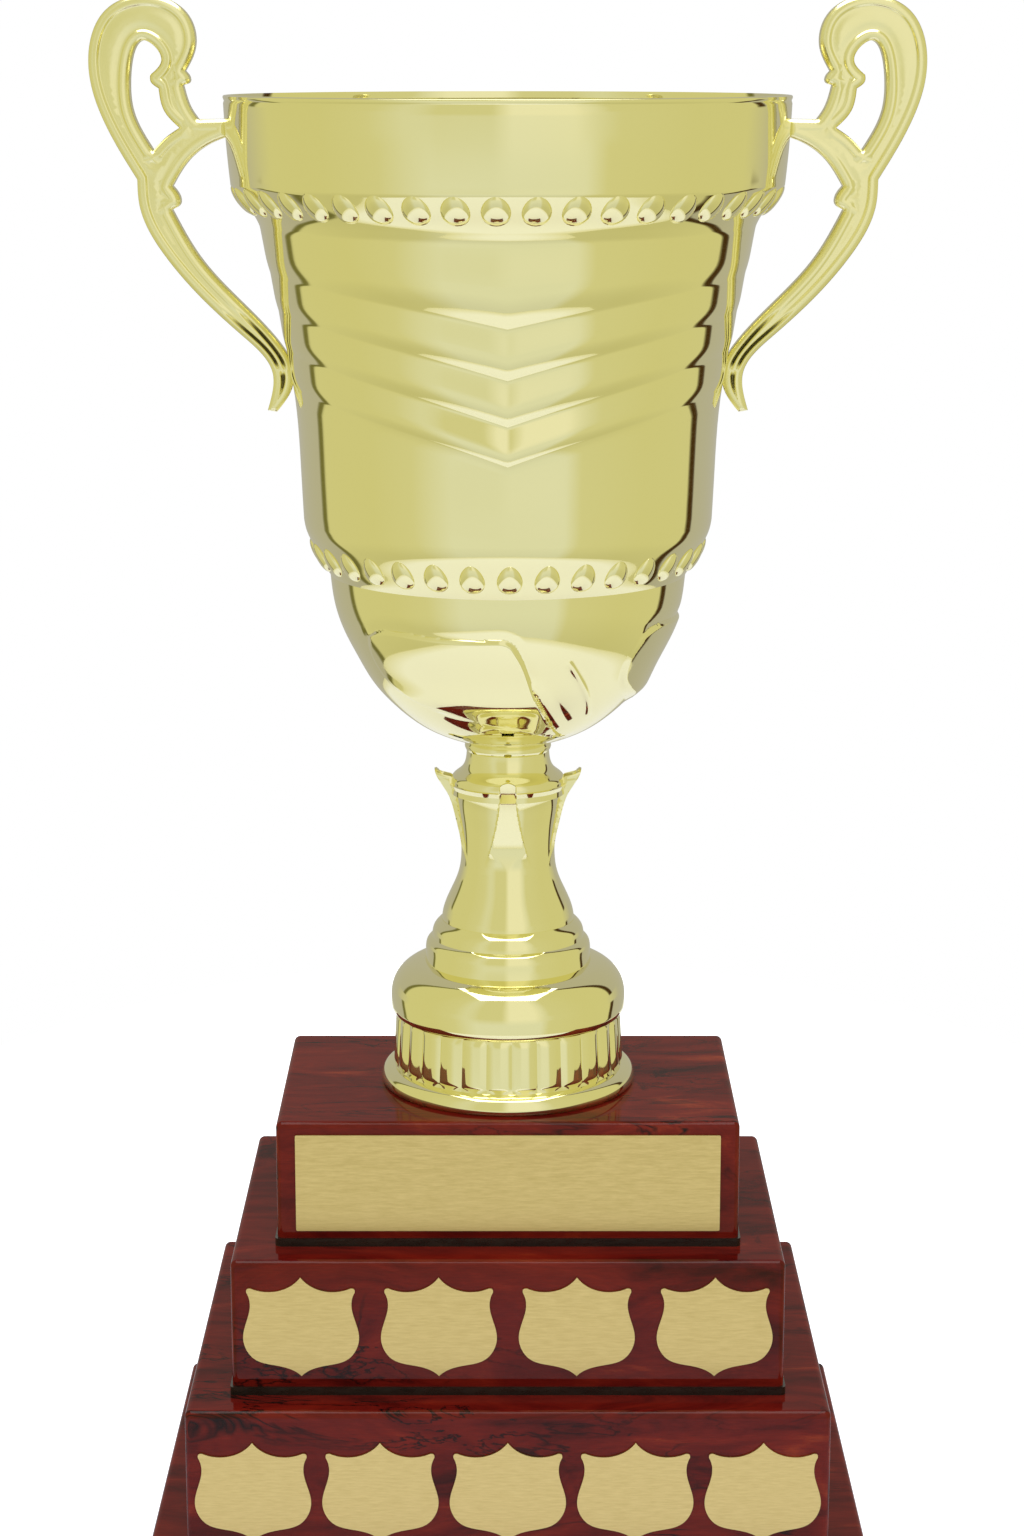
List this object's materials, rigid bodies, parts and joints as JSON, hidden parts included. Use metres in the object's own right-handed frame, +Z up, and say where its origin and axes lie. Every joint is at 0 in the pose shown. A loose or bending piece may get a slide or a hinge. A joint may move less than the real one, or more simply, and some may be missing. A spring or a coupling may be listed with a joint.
{
  "type": "cup trophy",
  "caption": "Two-handled cup trophy on a leafed stem and reeded foot, standing on a stepped rosewood base with blank engraving plates.",
  "frame": {"origin": "middle of the underside of the base, on the surface that it stands on", "axes": "+Z up through the rod, the stem and the cup; -Y out of the front with the engraving plates; +X towards the handle on a viewer's right"},
  "size_m": [0.2948, 0.2056, 0.6192],
  "materials": {
    "polished_gold": "mirror-polished pale gold plate",
    "satin_gold": "satin pale gold plate",
    "plate_gold": "finely brushed",
    "rosewood": "high-gloss lacquer over figured rosewood veneer",
    "black_lacquer": "gloss black lacquer",
    "plain_wood": "unfinished",
    "steel": "zinc plated",
    "felt": "matt felt"
  },
  "bodies": {
    "root": {"base_felt": "felt", "base_nut": "steel", "base_washer": "steel", "bowl_nut": "steel", "bowl_washer": "steel", "centre_rod": "steel", "cup_bowl": "polished_gold", "foot": "polished_gold", "handle_left": "satin_gold", "handle_right": "satin_gold", "handle_screws": "steel", "handle_washers": "steel", "leaf_stem": "polished_gold", "nameplate": "plate_gold", "neck_collar": "polished_gold", "stem_ring": "polished_gold", "tier_1_box": "rosewood", "tier_1_corner_blocks": "plain_wood", "tier_1_foot_board": "black_lacquer", "tier_1_screws": "steel", "tier_1_shield_1": "plate_gold", "tier_1_shield_2": "plate_gold", "tier_1_shield_3": "plate_gold", "tier_1_shield_4": "plate_gold", "tier_1_shield_5": "plate_gold", "tier_2_box": "rosewood", "tier_2_corner_blocks": "plain_wood", "tier_2_foot_board": "black_lacquer", "tier_2_screws": "steel", "tier_2_shield_1": "plate_gold", "tier_2_shield_2": "plate_gold", "tier_2_shield_3": "plate_gold", "tier_2_shield_4": "plate_gold", "tier_2_shield_5": "plate_gold", "tier_3_box": "rosewood", "tier_3_corner_blocks": "plain_wood", "tier_3_foot_board": "black_lacquer", "tier_3_screws": "steel", "tier_3_shield_1": "plate_gold", "tier_3_shield_2": "plate_gold", "tier_3_shield_3": "plate_gold", "tier_3_shield_4": "plate_gold", "tier_4_box": "rosewood", "tier_4_corner_blocks": "plain_wood", "tier_4_foot_board": "black_lacquer", "tier_4_screws": "steel"}
  },
  "joints": []
}
